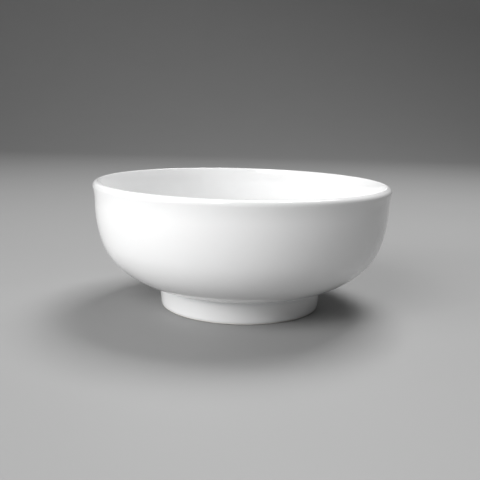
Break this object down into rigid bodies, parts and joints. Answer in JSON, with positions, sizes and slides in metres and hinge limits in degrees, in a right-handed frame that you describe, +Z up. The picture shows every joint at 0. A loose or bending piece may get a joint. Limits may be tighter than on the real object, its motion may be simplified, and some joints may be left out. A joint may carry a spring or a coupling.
{
  "type": "serving bowl",
  "caption": "Deep round porcelain serving bowl with a slightly flared rounded lip, standing on a plain foot ring, clear glazed over a white body.",
  "frame": {"origin": "centre of the circle that the foot ring stands on, at table height", "axes": "+Z up along the bowl's axis of turning, out of its open mouth; X and Y are any two level directions, because the bowl is round"},
  "size_m": [0.23, 0.23, 0.0976],
  "materials": {
    "bare_porcelain": "matte",
    "fired_slip": "matte",
    "clear_glaze": "gloss"
  },
  "bodies": {
    "root": {"bowl_body": "bare_porcelain", "foot_ring": "bare_porcelain", "luting_slip": "fired_slip", "inner_glaze": "clear_glaze", "outer_glaze": "clear_glaze", "recess_glaze": "clear_glaze"}
  },
  "joints": []
}
